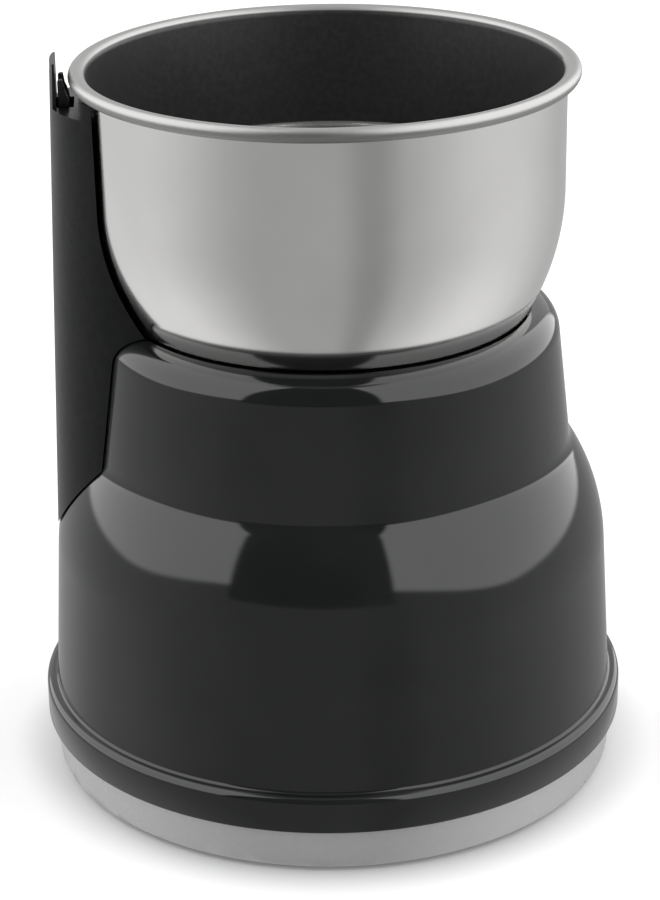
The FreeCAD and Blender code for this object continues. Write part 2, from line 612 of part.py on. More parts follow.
def make_coupling(label, low, high, dog_low, dog_high, offset):
    """Disc with three driving dogs that mesh with the dogs of the other half."""
    body = new_body(label)
    revolve(body, label + "_disc", [("shaft_r + bore_gap", low), ("coupling_r", low),
                                    ("coupling_r", high), ("shaft_r + bore_gap", high)])
    sketch = new_sketch(body, label + "_dog_outline", height=dog_low)
    corners = []
    for radius, angle in (("4.6", -24), ("(coupling_r - 0.2)", -24), ("(coupling_r - 0.2)", 24), ("4.6", 24)):
        corners.append(("%s * cos(%g)" % (radius, angle + offset), "%s * sin(%g)" % (radius, angle + offset)))
    draw_outline(sketch, corners, {1: ("coupling_r - 0.2", 1), 3: ("4.6", -1)})
    dog = pad(body, label + "_dog", sketch, "(%s) - (%s)" % (dog_high, dog_low))
    ring_pattern(body, label + "_dogs", dog, 3)
    return body


def make_blade():
    """Two-winged steel blade; each wing rises and twists towards its tip."""
    body = new_body("blade")
    revolve(body, "blade_hub_disc", [
        ("shaft_r + bore_gap", "blade_z"), ("blade_hub", "blade_z"),
        ("blade_hub", "blade_z + blade_thick"), ("shaft_r + bore_gap", "blade_z + blade_thick")])
    sections = []
    for i, (reach, half, lift, twist) in enumerate((
            ("5.5", "4.6", "0", "0"),
            ("blade_reach * 0.45", "4.2", "0.6", "blade_pitch * 0.5"),
            ("blade_reach * 0.75", "3.4", "3.2", "blade_pitch"),
            ("blade_reach", "2.2", "6.0", "blade_pitch * 1.2"))):
        sketch = new_sketch(body, "wing_section_%d" % i, "YZ_Plane", reach)
        corners = []
        for side, level in ((-1, 0), (1, 0), (1, 1), (-1, 1)):
            y = "%d * %s * cos(%s) - %d * blade_thick * sin(%s)" % (side, half, twist, level, twist)
            z = "blade_z + %s + %d * %s * sin(%s) + %d * blade_thick * cos(%s)" % (
                lift, side, half, twist, level, twist)
            corners.append((y, z))
        draw_outline(sketch, corners)
        sketch.Visibility = False
        sections.append(sketch)
    wing = body.newObject("PartDesign::AdditiveLoft", "wing")
    wing.Profile = sections[0]
    wing.Sections = sections[1:]
    doc.recompute()
    ring_pattern(body, "wings", wing, 2)
    return body


def make_blade_drive():
    """Bush through the cup floor with its nut, seal, spindle and coupling."""
    turned_part("spindle_bush", [
        ("shaft_r + bore_gap", "bush_low"), ("bush_hole_r - 0.1", "bush_low"),
        ("bush_hole_r - 0.1", "cup_boss_under + cup_wall"), ("bush_flange_r", "cup_boss_under + cup_wall"),
        ("bush_flange_r", "cup_boss_under + cup_wall + 1.2"), ("bush_hole_r - 0.1", "bush_top - 1.4"),
        ("bush_hole_r - 0.1", "bush_top"), ("5", "bush_top"), ("5", "bush_top - 1.6"),
        ("shaft_r + bore_gap", "bush_top - 1.6")])
    tube("spindle_seal", "5", "shaft_r + 0.02", "bush_top - 1.6", "bush_top - 0.1")
    nut = new_body("bush_nut")
    sketch = new_sketch(nut, "bush_nut_outline", height="cup_boss_under - 3.4")
    draw_outline(sketch, [("10.4 * cos(%d)" % a, "10.4 * sin(%d)" % a) for a in range(0, 360, 60)])
    draw_circle(sketch, "0", "0", "bush_hole_r - 0.05")
    pad(nut, "bush_nut_form", sketch, "3.3")
    turned_part("blade_spindle", [
        ("0", "cup_drive_face + 0.2"), ("shaft_r", "cup_drive_face + 0.2"), ("shaft_r", "bush_top + 0.3"),
        ("4.6", "bush_top + 0.3"), ("4.6", "blade_z"), ("shaft_r", "blade_z"), ("shaft_r", "blade_z + 5.2"),
        ("0", "blade_z + 5.2")])
    tube("blade_washer", "5.4", "shaft_r + bore_gap", "blade_z + blade_thick", "blade_z + blade_thick + 0.8")
    nut = new_body("blade_nut")
    sketch = new_sketch(nut, "blade_nut_outline", height="blade_z + blade_thick + 0.8")
    draw_outline(sketch, [("5.2 * cos(%d)" % a, "5.2 * sin(%d)" % a) for a in range(0, 360, 60)])
    pad(nut, "blade_nut_hex", sketch, "4.2")
    revolve(nut, "blade_nut_bore", [
        ("0", "blade_z"), ("shaft_r + bore_gap", "blade_z"),
        ("shaft_r + bore_gap", "blade_z + 5.3"), ("0", "blade_z + 5.3")], cut=True)
    make_coupling("cup_coupling", "cup_drive_face", "cup_drive_top", "cup_dog_tip", "cup_drive_face + 0.1", 60)
    make_coupling("drive_coupling", "drive_low", "drive_face", "drive_face - 0.1", "dog_tip", 0)
    tube("shaft_seal", "shaft_r + 2.55", "shaft_r + 0.02", "deck_under + 0.5", "collar_top - 0.4")


def make_rotor():
    """Shaft with everything that turns on it inside the housing."""
    turned_part("motor_shaft", [("0", "shaft_low"), ("shaft_r", "shaft_low"), ("shaft_r", "shaft_top"),
                                ("0", "shaft_top")])
    core = new_body("rotor_core")
    revolve(core, "rotor_form", [("shaft_r + bore_gap", "core_low"), ("rotor_r", "core_low"),
                                 ("rotor_r", "core_top"), ("shaft_r + bore_gap", "core_top")])
    sketch = new_sketch(core, "rotor_slot_outline", height="core_low - 1")
    draw_outline(sketch, [("9.5", "-0.9"), ("rotor_r + 1", "-0.9"), ("rotor_r + 1", "0.9"), ("9.5", "0.9")])
    slot = pocket(core, "rotor_slot", sketch, "core_top - core_low + 2")
    ring_pattern(core, "rotor_slots", slot, 12)
    ends = []
    for low, high in (("core_low - 4.2", "core_low - 0.1"), ("core_top + 0.1", "core_top + 4.4")):
        outer = cylinder("rotor_r - 1.2", low, high, name="winding_end")
        ends.append(cut_from("winding_end", outer, [cylinder("shaft_r + 1.6", low + " - 1", high + " + 1")]))
    joined("rotor_winding", ends)
    tube("commutator", "commutator_r", "shaft_r + bore_gap", "commutator_low", "commutator_top")
    fan = new_body("cooling_fan")
    revolve(fan, "fan_form", [
        ("shaft_r + bore_gap", "fan_low"), ("fan_r", "fan_low"), ("fan_r", "fan_disc"), ("6.2", "fan_disc"),
        ("6.2", "fan_top"), ("shaft_r + bore_gap", "fan_top")])
    sketch = new_sketch(fan, "fan_blade_outline", height="fan_disc - 0.1")
    draw_outline(sketch, [("9", "-0.6"), ("fan_r - 0.4", "-3.6"), ("fan_r - 0.4", "-2.4"), ("9", "0.6")])
    vane = pad(fan, "fan_blade", sketch, "fan_top - fan_disc + 0.1")
    ring_pattern(fan, "fan_blades", vane, 10)
    tube("upper_bearing", "bearing_r", "shaft_r + bore_gap", "bracket_up - 1.5", "bracket_up_top + 0.5")
    tube("lower_bearing", "low_bearing_r", "shaft_r + bore_gap", "bracket_low - 0.9", "bracket_low_top + 0.6")


def make_stator():
    """Laminated ring with two poles, the coils on the poles and both motor brackets."""
    yoke = cut_from("yoke", cylinder("yoke_out", "core_low", "core_top"),
                    [cylinder("yoke_in", "core_low - 1", "core_top + 1")])
    pieces = [yoke]
    for side in ("", "-"):
        near, far = ("shoe_r - 1", "yoke_in + 1") if side == "" else ("-yoke_in - 1", "1 - shoe_r")
        pieces.append(box(near, far, "-neck_half", "neck_half", "core_low", "core_top", "neck"))
    shoe_ring = cut_from("shoe_ring", cylinder("shoe_r", "core_low", "core_top"),
                         [cylinder("stator_bore", "core_low - 1", "core_top + 1")])
    gaps = [box("-8", "8", "-30", "30", "core_low - 1", "core_top + 1", "pole_gap")]
    pieces.append(cut_from("shoes", shoe_ring, gaps))
    solid = joined("core_blank", pieces)
    holes = [cylinder("bolt_r + 0.1", "core_low - 1", "core_top + 1", x, y)
             for x, y in around(2, 90, "bolt_circle")]
    cut_from("stator_core", solid, holes)

    coils = []
    for low_x, high_x in (("shoe_r + 0.4", "shoe_r + 4.4"), ("-shoe_r - 4.4", "-shoe_r - 0.4")):
        outer = box(low_x, high_x, "-neck_half - 5", "neck_half + 5",
                    "core_low - 4.8", "core_top + 4.8", "coil")
        inner = box(low_x + " - 1", high_x + " + 1", "-neck_half - 0.2", "neck_half + 0.2",
                    "core_low - 0.2", "core_top + 0.2", "coil_window")
        coils.append(cut_from("coil", outer, [inner]))
    joined("field_coils", coils)

    ears = [cylinder("4.6", "bracket_up", "bracket_up_top", x, y, "ear")
            for x, y in around(4, 45, "pillar_circle")]
    arms = []
    for turn in (45, 135):
        arm = box("-pillar_circle", "pillar_circle", "-4.5", "4.5", "bracket_up", "bracket_up_top", "arm")
        arm.Placement = Placement(Vector(), Rotation(Vector(0, 0, 1), turn))
        place(arm, "4.5 * sin(%d) - pillar_circle * cos(%d)" % (turn, turn),
              "-4.5 * cos(%d) - pillar_circle * sin(%d)" % (turn, turn), "bracket_up")
        arms.append(arm)
    cross = box("-4.5", "4.5", "-bolt_circle - 4", "bolt_circle + 4", "bracket_up", "bracket_up_top", "cross")
    hub = cylinder("bearing_r + 3", "bracket_up - 2", "bracket_up_top", name="hub")
    blank = joined("upper_blank", ears + arms + [cross, hub])
    holes = [cylinder("1.85", "bracket_up - 1", "bracket_up_top + 1", x, y)
             for x, y in around(4, 45, "pillar_circle")]
    holes += [cylinder("bolt_r + 0.1", "bracket_up - 1", "bracket_up_top + 1", x, y)
              for x, y in around(2, 90, "bolt_circle")]
    holes.append(cylinder("bearing_r + bore_gap", "bracket_up - 3", "bracket_up_top + 1"))
    cut_from("upper_bracket", blank, holes)

    bars = [box("-6", "6", "-bolt_circle - 4", "bolt_circle + 4", "bracket_low", "bracket_low_top", "bar"),
            box("-23.5", "23.5", "-5", "5", "bracket_low", "bracket_low_top", "brush_bar"),
            cylinder("low_bearing_r + 2.6", "bracket_low - 0.6", "bracket_low_top + 1", name="low_hub")]
    blank = joined("lower_blank", bars)
    holes = [cylinder("bolt_r + 0.1", "bracket_low - 1", "bracket_low_top + 1", x, y)
             for x, y in around(2, 90, "bolt_circle")]
    holes.append(cylinder("low_bearing_r + bore_gap", "bracket_low - 2", "bracket_low_top + 3"))
    cut_from("lower_bracket", blank, holes)


def make_brushes():
    """Brush holders on the lower bracket, each with a carbon brush and its spring."""
    holders, brushes, springs = [], [], []
    middle = number("commutator_low + 4.5")
    for side in (1, -1):
        def span(low, high):
            return (low, high) if side > 0 else ("-(%s)" % high, "-(%s)" % low)
        outer = box(*span("12.2", "23"), "-4.2", "4.2", "bracket_low_top", "commutator_low + 8.5", "holder")
        inner = box(*span("11", "21.8"), "-2.6", "2.6",
                    "commutator_low + 1.9", "commutator_low + 7.1", "channel")
        holders.append(cut_from("holder", outer, [inner]))
        brushes.append(box(*span("commutator_r + 0.1", "17.4"), "-2.5", "2.5",
                           "commutator_low + 2", "commutator_low + 7", "brush"))
        spring = coil_shape(1.7, 0.3, 17.6, 21.6, 4)
        spring.rotate(Vector(), Vector(0, 1, 0), 90 * side)
        spring.translate(Vector(0, 0, middle))
        springs.append(spring)
    joined("brush_holders", holders)
    joined("carbon_brushes", brushes)
    shaped("brush_springs", Part.makeCompound(springs))


def make_switch():
    """Rod in the column, the push switch it works and the bracket that holds the switch."""
    rod = new_body("switch_rod")
    sketch = new_sketch(rod, "rod_side_outline", "XZ_Plane")
    draw_outline(sketch, [
        ("-rod_out", "rod_low"), ("-button_x + 2", "rod_low"), ("-button_x + 2", "rod_low + 2"),
        ("-rod_in", "rod_low + 2"), ("-rod_in", "notch_floor - 5"),
        ("-rod_slot_in - 0.75", "notch_floor - 3.6"),
        ("-rod_slot_in - 0.75", "notch_floor + 0.5"), ("-rod_slot_in - 0.85", "notch_floor + 1.2"),
        ("-rod_in + 0.1", "notch_floor + 2.3"), ("-rod_in - 0.3", "notch_floor + 3.8"),
        ("-rod_in - 0.55", "rod_tip"), ("-rod_out + 0.3", "rod_tip"), ("-rod_out", "rod_tip - 0.5")])
    pad(rod, "rod_form", sketch, "2 * rod_half", both=True)
    sketch = new_sketch(rod, "rod_groove_outline", height="notch_floor - 1.5")
    draw_outline(sketch, [("-rod_out - 1", "rod_rib - rod_half"), ("-rod_slot_in + 1", "rod_rib - rod_half"),
                          ("-rod_slot_in + 1", "rod_half - rod_rib"), ("-rod_out - 1", "rod_half - rod_rib")])
    pocket(rod, "rod_groove", sketch, "12")

    shell = box("-switch_body_out", "-switch_body_in", "-switch_body_half", "switch_body_half",
                "switch_body_low", "switch_body_top", "switch_shell")
    bores = [cylinder("button_r + 0.08", "switch_bore_low", "switch_body_top + 1", "-button_x")]
    bores += [lying("1.2", "-switch_body_out - 1.6", "2 - switch_body_in", y, "switch_body_low + 3.5")
              for y in ("6", "-6")]
    cut_from("push_switch_body", shell, bores)
    button = cylinder("button_r", "button_low", "rod_low - 0.05", "-button_x", name="button")
    joined("push_switch_button", [button])
    spring = coil_shape(number("button_coil"), number("button_wire"), number("switch_bore_low + 0.05"),
                        number("button_low - 0.05"), number("button_turns"))
    spring.translate(Vector(-number("button_x"), 0, 0))
    shaped("button_spring", spring)
    pieces = [box("-button_x - 0.4", "-button_x + 0.4", y + " - 2", y + " + 2",
                  "switch_body_low - 5", "switch_body_low", "terminal") for y in ("5", "-5")]
    joined("switch_terminals", pieces)

    bracket = new_body("switch_bracket")
    sketch = new_sketch(bracket, "bracket_outline", "XZ_Plane")
    back = "-switch_body_in"
    draw_outline(sketch, [
        (back, "switch_body_low"), (back + " + 1.2", "switch_body_low"),
        (back + " + 1.2", "switch_body_top + 9.5"), ("-bracket_face", "switch_body_top + 14.5"),
        ("-bracket_face", "slab_under - 2"),
        ("-bracket_face - 1.2", "slab_under - 2"), ("-bracket_face - 1.2", "switch_body_top + 14.9"),
        (back, "switch_body_top + 10.1")])
    pad(bracket, "bracket_form", sketch, "15", both=True)
    sketch = new_sketch(bracket, "bracket_hole_outline", "YZ_Plane", "-bracket_face - 1.8")
    draw_circle(sketch, "5", "drum_foot + 4.5", "1.3")
    draw_circle(sketch, "-5", "drum_foot + 4.5", "1.3")
    pocket(bracket, "bracket_holes", sketch, "3")
    sketch = new_sketch(bracket, "switch_hole_outline", "YZ_Plane", "-switch_body_in - 1")
    draw_circle(sketch, "6", "switch_body_low + 3.5", "1.2")
    draw_circle(sketch, "-6", "switch_body_low + 3.5", "1.2")
    pocket(bracket, "switch_holes", sketch, "4")


def make_inlet():
    """Cord bush set in the back of the housing; the cord itself is left out."""
    barrel = lying("4", "crease_r - 4.35", "crease_r + 1.25", "0", "inlet_z", along_y=True)
    flange = lying("5.4", "crease_r - 0.05", "crease_r + 1.25", "0", "inlet_z", along_y=True)
    bore = lying("2.6", "crease_r - 5.95", "crease_r + 3.05", "0", "inlet_z", along_y=True)
    whole = joined("bush_blank", [barrel, flange])
    cut_from("cord_inlet_bush", whole, [bore])


def make_wiring():
    """Suppression capacitor and the leads between switch, brushes and inlet."""
    joined("capacitor", [box("30", "37.5", "-7", "7", "plate_floor", "plate_floor + 12", "capacitor_case")])
    switch_x, terminal = -number("button_x"), number("switch_body_low") - 5.4
    inlet_y, inlet_z = number("crease_r") - 5.95, number("inlet_z")
    leads = [
        [(switch_x, 5, terminal), (switch_x + 1.2, 8, 19), (-36, 12, 16), (-26, 9, 16.6), (-24.1, 2, 17.5)],
        [(switch_x, -5, terminal), (switch_x + 2.2, -12, 19), (-28, -30, 17), (0, -38, 16), (24, -26, 16),
         (34, -11, 13), (34, -7.9, 11)],
        [(34, 7.9, 11), (33.5, 10, 13), (30, 11, 16), (25.5, 6, 17), (24.1, 2, 17.5)],
        [(33, 7.9, 7), (30, 24, 12), (10, inlet_y - 5, inlet_z - 4), (0, inlet_y, inlet_z)],
    ]
    shaped("lead_wires", Part.makeCompound([pipe_shape(points, 0.8) for points in leads]))


make_housing()
make_column()
make_base_plate()
make_fixings()
make_cup()
make_blade()
make_blade_drive()
make_rotor()
make_stator()
make_brushes()
make_switch()
make_inlet()
make_wiring()
doc.removeObject(reckoner.Name)
doc.recompute()

NODES = [
    "motor_housing", "switch_column", "base_plate", "rubber_feet", "base_screws", "column_screws",
    "cord_inlet_bush", "steel_cup", "spindle_bush", "spindle_seal", "bush_nut", "blade_spindle", "blade",
    "blade_washer", "blade_nut", "cup_coupling", "drive_coupling", "shaft_seal", "motor_shaft", "rotor_core",
    "rotor_winding", "commutator", "cooling_fan", "upper_bearing", "lower_bearing", "stator_core",
    "field_coils", "upper_bracket", "lower_bracket", "motor_bolts", "motor_screws", "motor_mounts",
    "brush_holders", "carbon_brushes", "brush_springs", "switch_rod", "push_switch_body",
    "push_switch_button", "button_spring", "switch_terminals", "switch_bracket", "bracket_screws",
    "switch_screws", "capacitor", "lead_wires",
]

for item in doc.Objects:
    if any(word in ("Invalid", "Error") for word in item.State):
        raise RuntimeError("object not built: " + item.Label)

os.makedirs("parts", exist_ok=True)
for label in NODES:
    item = doc.getObjectsByLabel(label)[0]
    shape = item.Shape
    if shape.isNull() or not shape.isValid():
        raise RuntimeError("shape not sound: " + label)
    bounds = shape.BoundBox
    print("%-20s solids %2d  volume %9.1f  z %7.2f %7.2f  x %7.2f %7.2f" % (
        label, len(shape.Solids), shape.Volume, bounds.ZMin, bounds.ZMax, bounds.XMin, bounds.XMax))
    shape.exportStep("parts/" + label + ".step")
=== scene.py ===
import json
import math

import bmesh
import bpy
from mathutils import Matrix, Vector

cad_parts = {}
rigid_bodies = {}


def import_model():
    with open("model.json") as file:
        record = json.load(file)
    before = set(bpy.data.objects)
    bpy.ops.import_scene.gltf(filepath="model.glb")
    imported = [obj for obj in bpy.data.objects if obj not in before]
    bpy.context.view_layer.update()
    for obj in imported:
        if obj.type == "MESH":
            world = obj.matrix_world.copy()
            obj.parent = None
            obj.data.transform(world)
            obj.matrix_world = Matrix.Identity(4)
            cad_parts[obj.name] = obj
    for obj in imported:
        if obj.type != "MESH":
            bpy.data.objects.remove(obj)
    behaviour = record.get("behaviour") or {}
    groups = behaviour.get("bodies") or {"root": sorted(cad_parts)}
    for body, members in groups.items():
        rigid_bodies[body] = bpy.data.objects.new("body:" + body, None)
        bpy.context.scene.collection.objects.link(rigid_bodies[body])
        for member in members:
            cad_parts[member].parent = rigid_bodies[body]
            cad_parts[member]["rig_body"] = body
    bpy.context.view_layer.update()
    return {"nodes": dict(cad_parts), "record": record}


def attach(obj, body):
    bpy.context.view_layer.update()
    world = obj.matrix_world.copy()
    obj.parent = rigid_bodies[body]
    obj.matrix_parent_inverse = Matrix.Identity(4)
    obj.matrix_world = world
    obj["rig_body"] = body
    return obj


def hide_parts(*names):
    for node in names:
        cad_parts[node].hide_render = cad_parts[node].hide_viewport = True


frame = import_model()

MM = 0.001
ROUND_STEPS = 288

# Turned forms: points as (radius, height), and the radii of arcs, in millimetres.
FLANGE_SIDE = (54.0, 13.85)
FLANGE_SHELF = (52.65, 15.2)
FLANGE_ROUND = 1.35
CREASE = (51.95, 15.2)
CREASE_ROUND = 0.6
SKIRT_TOP = (50.49, 42.07)
BELL_ROUND = 37.0
BELL_END = 59.2
DRUM_FOOT = (43.76, 61.35)
THROAT_ROUND = 5.5
DRUM_TOP = (41.57, 81.93)
LIP_ROUND = 5.1
LIP_CREST = (36.5, 86.5)
MOUTH_TOP = (36.44, 86.0)
MOUTH_FOOT = (34.11, 82.5)
MOUTH_ROUND = 43.85
HOLLOW_TOP = (41.36, 60.55)
HOLLOW_FOOT = (48.09, 42.07)
HOLLOW_ROUND = 34.6
CUP_FLOOR = (27.75, 79.7)
CUP_KNEE = (33.35, 82.5)
KNEE_ROUND = 7.0
CUP_SHOULDER = (42.05, 108.5)
BOWL_ROUND = 43.25
CUP_WALL = 0.7
CUP_FLOOR_INSIDE = (27.75, 80.4)
CUP_KNEE_INSIDE = (32.79, 82.9)
KNEE_ROUND_INSIDE = 6.3
CUP_SHOULDER_INSIDE = (41.35, 108.5)
BOWL_ROUND_INSIDE = 42.55
RIM_CENTRE = (43.17, 129.35)
RIM_TUBE = 1.25
RIM_STEPS = 28
LINING_START = 6

# Screw bosses: how many, first angle in degrees, then circle, radius, low and high in millimetres.
BOSSES = ((3, 0.0, 46.0, 3.6, 4.6, 40.0), (4, 45.0, 29.0, 4.2, 62.0, 77.2))

# Forms that the photograph shows a little otherwise than the CAD: lengths in millimetres, and a scale.
FOOT_RADIUS = 49.3
FOOT_HEIGHT = 8.4
FOOT_SPREAD = 2.4
GUARD_HEIGHT = 131.0
GUARD_DROP = 1.0
HEAD_HEIGHT = 126.0
HEAD_SCALE = 0.66

# Camera of the photograph: place in millimetres, angles in degrees, focal length in millimetres.
CAMERA_AT = (-30.94, -442.45, 242.39)
CAMERA_YAW = 4.0
CAMERA_PITCH = 22.62
CAMERA_ROLL = -0.785
CAMERA_LENS = 104.59

# Studio, in degrees about the object from the camera's side and above the table.
LEFT_BOX = (-150.0, -46.0)
RIGHT_BOX = (21.0, 150.0)
BACKDROP_FROM = (147.0, 153.0)
BOX_FOOT = 11.0
LEFT_FOOT_TURN = (36.0, 98.0)
LEFT_FOOT_DROP = 11.0
RIGHT_FOOT_TURN = (10.0, 78.0)
RIGHT_FOOT_DROP = 15.0
SOFT_EDGE = 1.5
TABLE_TOP = 3.0
LEFT_TABLE_RISE = (32.0, 100.0)
LEFT_TABLE_FALL = (130.0, 175.0)
RIGHT_TABLE_RISE = (16.0, 88.0)
RIGHT_TABLE_FALL = (95.0, 150.0)
TABLE_NEAR = (20.0, 45.0)
DIP_TURN = (8.0, 28.0)
DIP_EDGE = 8.0
CEILING_FROM = 74.0
CEILING_EDGE = 3.0

# Studio, light levels and shares of them.
BOX_LEVEL = 2.6
GAP_LEVEL = 0.10
TABLE_SIDE_LEVEL = 0.675
TABLE_FRONT_LEVEL = 0.375
TABLE_DIP = 0.09
TABLE_NEAR_GAIN = 0.10
TABLE_FALL_SHARE = 0.65
CEILING_LEVEL = 0.45
BACKDROP_LEVEL = 0.95

# Finishes that change with place, with painted shade on the cup's rolled rim and a painted shadow on the
# floor: heights and radii in metres.
ROLLED_RIM = (0.12785, 0.1284)
SCUFFED_FLOOR = (0.020, 0.034)
PAINTED_SHADOW_RADII = (0.051, 0.062)


class Wire:
    """A shader socket that Python's own signs can reckon with."""

    def __init__(self, finish, socket):
        self.finish = finish
        self.socket = socket

    def reckon(self, operation, *values):
        return self.finish.node("ShaderNodeMath", {"operation": operation}, dict(enumerate(values)))

    def __add__(self, other):
        return self.reckon("ADD", self, other)

    def __sub__(self, other):
        return self.reckon("SUBTRACT", self, other)

    def __rsub__(self, other):
        return self.reckon("SUBTRACT", other, self)

    def __mul__(self, other):
        return self.reckon("MULTIPLY", self, other)

    def __pow__(self, other):
        return self.reckon("POWER", self, other)

    __radd__ = __add__
    __rmul__ = __mul__

    def step(self, low, high):
        """0 below low, 1 above high, with a soft change between."""
        return self.finish.node(
            "ShaderNodeMapRange", {"interpolation_type": "SMOOTHSTEP"},
            {"Value": self, "From Min": low, "From Max": high, "To Min": 0.0, "To Max": 1.0}, "Result")

    def span(self, low, high, edge):
        """1 between low and high, with soft edges."""
        return self.step(low - edge, low + edge) * (1 - self.step(high - edge, high + edge))


class Finish:
    """Node tree of a material or of the studio, with one way to add any node."""

    def __init__(self, owner):
        owner.use_nodes = True
        self.owner = owner
        self.tree = owner.node_tree
        self.tree.nodes.clear()

    def node(self, kind, settings=None, sockets=None, out=0):
        made = self.tree.nodes.new(kind)
        for name, value in (settings or {}).items():
            setattr(made, name, value)
        for name, value in (sockets or {}).items():
            socket = made.inputs[name]
            if isinstance(value, Wire):
                self.tree.links.new(value.socket, socket)
            else:
                socket.default_value = value
        return Wire(self, made.outputs[out])

    def place(self):
        return self.node("ShaderNodeTexCoord", out="Object")

    def parts(self, vector):
        split = self.node("ShaderNodeSeparateXYZ", sockets={"Vector": vector})
        outputs = split.socket.node.outputs
        return [Wire(self, outputs[i]) for i in range(3)]

    def grain(self, scale, detail=3.0, stretch=(1.0, 1.0, 1.0)):
        """Noise at a given scale, which may be drawn out along an axis."""
        turned = self.node("ShaderNodeMapping", sockets={"Vector": self.place(), "Scale": stretch})
        return self.node("ShaderNodeTexNoise", sockets={
            "Vector": turned, "Scale": scale, "Detail": detail, "Roughness": 0.55}, out="Fac")

    def between(self, factor, first, second):
        """Colour between two colours."""
        return self.node("ShaderNodeMix", {"data_type": "RGBA"}, {
            0: factor, 6: first, 7: second}, out=2)

    def relief(self, height, strength, distance):
        return self.node("ShaderNodeBump", sockets={
            "Height": height, "Strength": strength, "Distance": distance}, out="Normal")

    def surface(self, shader):
        of_world = isinstance(self.owner, bpy.types.World)
        end = self.tree.nodes.new("ShaderNodeOutputWorld" if of_world else "ShaderNodeOutputMaterial")
        self.tree.links.new(shader.socket, end.inputs["Surface"])
        return self.owner


def shade(tone):
    """Opaque colour from three linear values."""
    return (*tone, 1.0)


def new_finish(name, base, roughness, normal=None, **fixed):
    """Procedural material; base, roughness and normal are built on its own tree."""
    finish = Finish(bpy.data.materials.new(name))
    sockets = {"Base Color": base(finish), "Roughness": roughness(finish)}
    if normal:
        sockets["Normal"] = normal(finish)
    sockets.update({key.replace("_", " "): value for key, value in fixed.items()})
    return finish.surface(finish.node("ShaderNodeBsdfPrincipled", sockets=sockets))


def flecked(first, second, scale, stretch=(1.0, 1.0, 1.0)):
    """Base colour that wavers between two close tones."""
    return lambda f: f.between(f.grain(scale, stretch=stretch).step(0.35, 0.65), shade(first), shade(second))


def wavering(low, high, scale, stretch=(1.0, 1.0, 1.0)):
    """Roughness that wavers between two values."""
    return lambda f: f.grain(scale, stretch=stretch).step(0.3, 0.7) * (high - low) + low


def textured(scale, strength, distance, stretch=(1.0, 1.0, 1.0)):
    """Fine relief of a moulded, drawn or cast surface."""
    return lambda f: f.relief(f.grain(scale, detail=4.0, stretch=stretch), strength, distance)


def steel_cup_finish():
    """Polished steel with faint drawing lines and a rolled rim darkened as painted shade; the inside wears a
    dark satin coating.
    """
    f = Finish(bpy.data.materials.new("cup_steel_and_coating"))
    x, y, z = f.parts(f.place())
    radius = (x * x + y * y) ** 0.5
    lining = f.node("ShaderNodeAttribute", {"attribute_name": "lining"}, out="Fac")
    drawn = f.grain(260.0, detail=3.0, stretch=(1.0, 1.0, 9.0))
    cloud = f.grain(38.0)
    steel = f.between(cloud.step(0.3, 0.7), shade((0.80, 0.795, 0.785)), shade((0.86, 0.855, 0.845)))
    # Painted shade: the rolled rim's steel is darkened to stand in for the darker reflections it shows; its
    # added roughness is a real finish.
    rolled = z.step(*ROLLED_RIM)
    steel = f.between(rolled, steel, shade((0.32, 0.318, 0.314)))
    fleck = f.grain(900.0).step(0.35, 0.65)
    coating = f.between(fleck, shade((0.014, 0.014, 0.014)), shade((0.022, 0.022, 0.022)))
    scuffed = (1 - radius.step(*SCUFFED_FLOOR)) * f.grain(420.0, stretch=(1.0, 1.0, 0.3)).step(0.52, 0.72)
    coating = f.between(scuffed * 0.25, coating, shade((0.05, 0.05, 0.05)))
    roughness = (drawn * 0.05 + rolled * 0.27 + 0.10) * (1 - lining) + (cloud * 0.10 + 0.36) * lining
    relief = f.relief(drawn * (1 - lining) * 0.25 + f.grain(2200.0) * lining, 0.06, 0.00005)
    return f.surface(f.node("ShaderNodeBsdfPrincipled", sockets={
        "Base Color": f.between(lining, steel, coating), "Metallic": 1 - lining,
        "Roughness": roughness, "Normal": relief}))


def winding_finish():
    """Enamelled wire laid in turns around each coil."""
    def laid(f):
        return f.node("ShaderNodeTexWave", {"bands_direction": "Z", "wave_profile": "SIN"}, {
            "Vector": f.place(), "Scale": 420.0, "Distortion": 0.6}, out="Fac")
    return new_finish(
        "enamelled_winding",
        lambda f: f.between(laid(f), shade((0.20, 0.055, 0.02)), shade((0.52, 0.20, 0.09))),
        lambda f: laid(f) * 0.15 + 0.25, lambda f: f.relief(laid(f), 0.6, 0.0002), Metallic=0.85)


def lamination_finish():
    """Edges of stacked electrical steel."""
    def stack(f):
        return f.node("ShaderNodeTexWave", {"bands_direction": "Z", "wave_profile": "SIN"}, {
            "Vector": f.place(), "Scale": 620.0, "Distortion": 0.2}, out="Fac")
    return new_finish(
        "stacked_laminations",
        lambda f: f.between(stack(f), shade((0.09, 0.09, 0.10)), shade((0.24, 0.24, 0.26))),
        lambda f: f.grain(300.0) * 0.2 + 0.35, lambda f: f.relief(stack(f), 0.4, 0.0001), Metallic=0.9)


